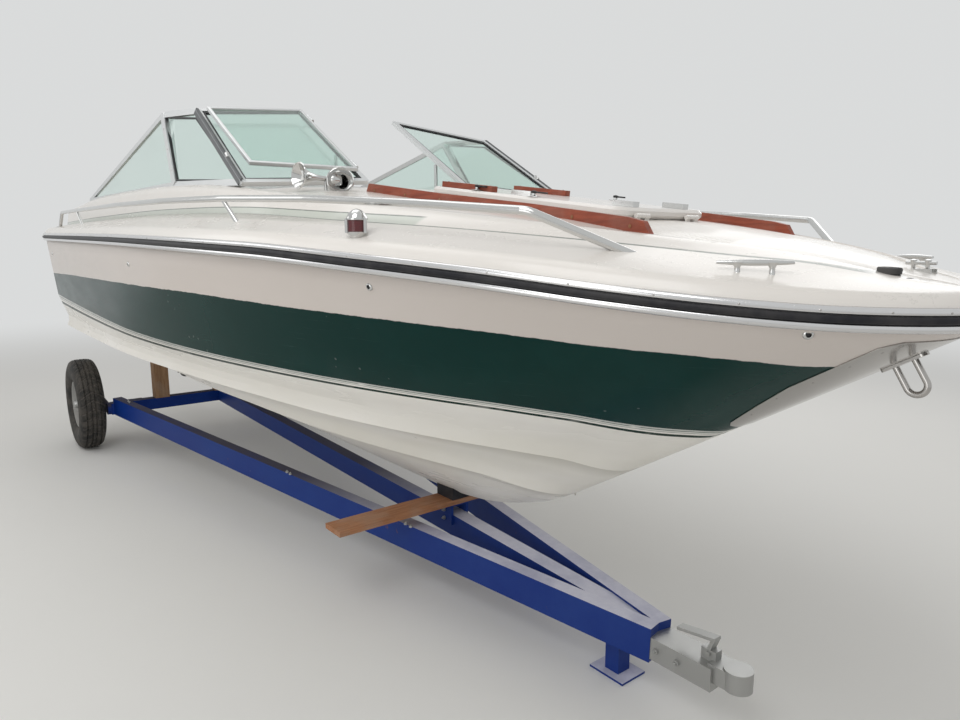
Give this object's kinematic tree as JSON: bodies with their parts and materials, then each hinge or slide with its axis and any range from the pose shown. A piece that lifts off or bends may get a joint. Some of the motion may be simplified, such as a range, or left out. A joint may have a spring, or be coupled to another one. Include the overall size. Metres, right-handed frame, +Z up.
{
  "type": "sports cruiser speedboat on a road trailer",
  "caption": "Glass-fibre walk-through speedboat with a raked windscreen, foredeck hatch, hand rails and tilting stern drive, resting on a single-axle road trailer.",
  "frame": {"origin": "on the floor under the middle of the overall length, in the centre plane", "axes": "+X to the bow, +Y to port, +Z up"},
  "size_m": [6.402, 2.182, 2.1579],
  "materials": {
    "hull_gelcoat": "gloss gelcoat, white with a green band",
    "deck_gelcoat": "gloss gelcoat, off-white with a pale green stripe",
    "hatch_gelcoat": "gloss gelcoat, white",
    "liner_gelcoat": "satin gelcoat, cream",
    "rail_chrome": "bright anodised moulding",
    "black_rubber": "matt black",
    "stainless": "polished stainless steel",
    "frame_aluminium": "pale anodised",
    "green_glass": "clear with a slight green tint",
    "teak": "oiled teak",
    "black_plastic": "satin black",
    "red_lens": "translucent lens",
    "cushion_vinyl": "cream vinyl, piped",
    "engine_iron": "painted casting",
    "door_wood": "varnished ply",
    "drive_paint": "satin dark grey",
    "propeller_alloy": "black painted alloy",
    "blue_paint": "dusty blue paint",
    "rim_paint": "silver paint",
    "tyre": "worn rubber",
    "plank_wood": "bare orange-brown timber",
    "zinc_steel": "galvanised"
  },
  "bodies": {
    "boat_and_trailer": {"hull_shell": "hull_gelcoat", "deck": "deck_gelcoat", "cockpit_liner": "liner_gelcoat", "rub_rail": "rail_chrome", "rub_rail_insert": "black_rubber", "stem_guard": "stainless", "bow_eye": "stainless", "windscreen_frame_starboard": "frame_aluminium", "windscreen_frame_port": "frame_aluminium", "windscreen_glass_starboard": "green_glass", "windscreen_glass_port": "green_glass", "windscreen_struts": "frame_aluminium", "hand_rail_starboard": "stainless", "hand_rail_port": "stainless", "teak_boards": "teak", "hatch_coaming": "deck_gelcoat", "deck_cleats": "stainless", "deck_vent": "black_plastic", "bow_fitting": "stainless", "side_lights": "stainless", "side_light_lenses": "red_lens", "horns": "stainless", "berth_cushions": "cushion_vinyl", "bench_cushions": "cushion_vinyl", "seat_bases": "liner_gelcoat", "seat_cushions": "cushion_vinyl", "engine_block": "engine_iron", "steering_column": "black_plastic", "drive_housing": "drive_paint", "trailer_frame": "blue_paint", "axle_arms": "blue_paint", "keel_bracket": "blue_paint", "plank": "plank_wood", "keel_pad": "black_rubber", "rear_chocks": "plank_wood", "jack_leg": "blue_paint", "coupling": "zinc_steel", "coupling_lever": "zinc_steel"},
    "windscreen_door": {"windscreen_door_frame": "frame_aluminium", "windscreen_door_glass": "green_glass"},
    "foredeck_hatch": {"cabin_hatch": "hatch_gelcoat", "hatch_strips": "teak", "hatch_fittings": "stainless"},
    "companionway_door": {"cabin_door": "door_wood"},
    "engine_lid": {"engine_cover": "liner_gelcoat", "engine_cover_pad": "cushion_vinyl"},
    "helm_wheel": {"steering_wheel": "black_plastic"},
    "steered_yoke": {"drive_yoke": "drive_paint"},
    "tilting_leg": {"drive_leg": "drive_paint"},
    "screw": {"propeller": "propeller_alloy"},
    "wheel_starboard": {"rim_starboard": "rim_paint", "tyre_starboard": "tyre"},
    "wheel_port": {"rim_port": "rim_paint", "tyre_port": "tyre"}
  },
  "joints": [
    {"name": "windscreen_door_hinge", "type": "hinge", "parent": "boat_and_trailer", "child": "windscreen_door", "pos_m": [0.94414, -0.268, 1.76924], "axis": [-0.8619, 0, 0.507], "range_deg": [0, 178]},
    {"name": "foredeck_hatch_hinge", "type": "hinge", "parent": "boat_and_trailer", "child": "foredeck_hatch", "pos_m": [2.29639, 0, 1.57214], "axis": [0, 1, 0], "range_deg": [0, 80]},
    {"name": "companionway_door_hinge", "type": "hinge", "parent": "boat_and_trailer", "child": "companionway_door", "pos_m": [0.874, 0.226, 1.27], "axis": [0, 0, 1], "range_deg": [-88, 0]},
    {"name": "engine_lid_hinge", "type": "hinge", "parent": "boat_and_trailer", "child": "engine_lid", "pos_m": [-2.246, 0, 1.29], "axis": [0, -1, 0], "range_deg": [0, 70]},
    {"name": "helm_wheel_turn", "type": "hinge", "parent": "boat_and_trailer", "child": "helm_wheel", "pos_m": [0.345, -0.54, 1.49], "axis": [-0.9, 0, 0.436], "range_deg": [-540, 540]},
    {"name": "drive_steering", "type": "hinge", "parent": "boat_and_trailer", "child": "steered_yoke", "pos_m": [-2.4967, 0, 0.65], "axis": [0, 0, 1], "range_deg": [-28, 28]},
    {"name": "drive_tilt", "type": "hinge", "parent": "steered_yoke", "child": "tilting_leg", "pos_m": [-2.5767, 0, 0.65], "axis": [0, 1, 0], "range_deg": [-38.5, 8]},
    {"name": "propeller_spin", "type": "hinge", "parent": "tilting_leg", "child": "screw", "pos_m": [-3.12064, 0, 0.53323], "axis": [-0.7826, 0, 0.6225], "continuous": true},
    {"name": "wheel_spin_starboard", "type": "hinge", "parent": "boat_and_trailer", "child": "wheel_starboard", "pos_m": [-2.15, -0.923, 0.327], "axis": [0, 1, 0], "continuous": true},
    {"name": "wheel_spin_port", "type": "hinge", "parent": "boat_and_trailer", "child": "wheel_port", "pos_m": [-2.15, 0.923, 0.327], "axis": [0, 1, 0], "continuous": true}
  ]
}
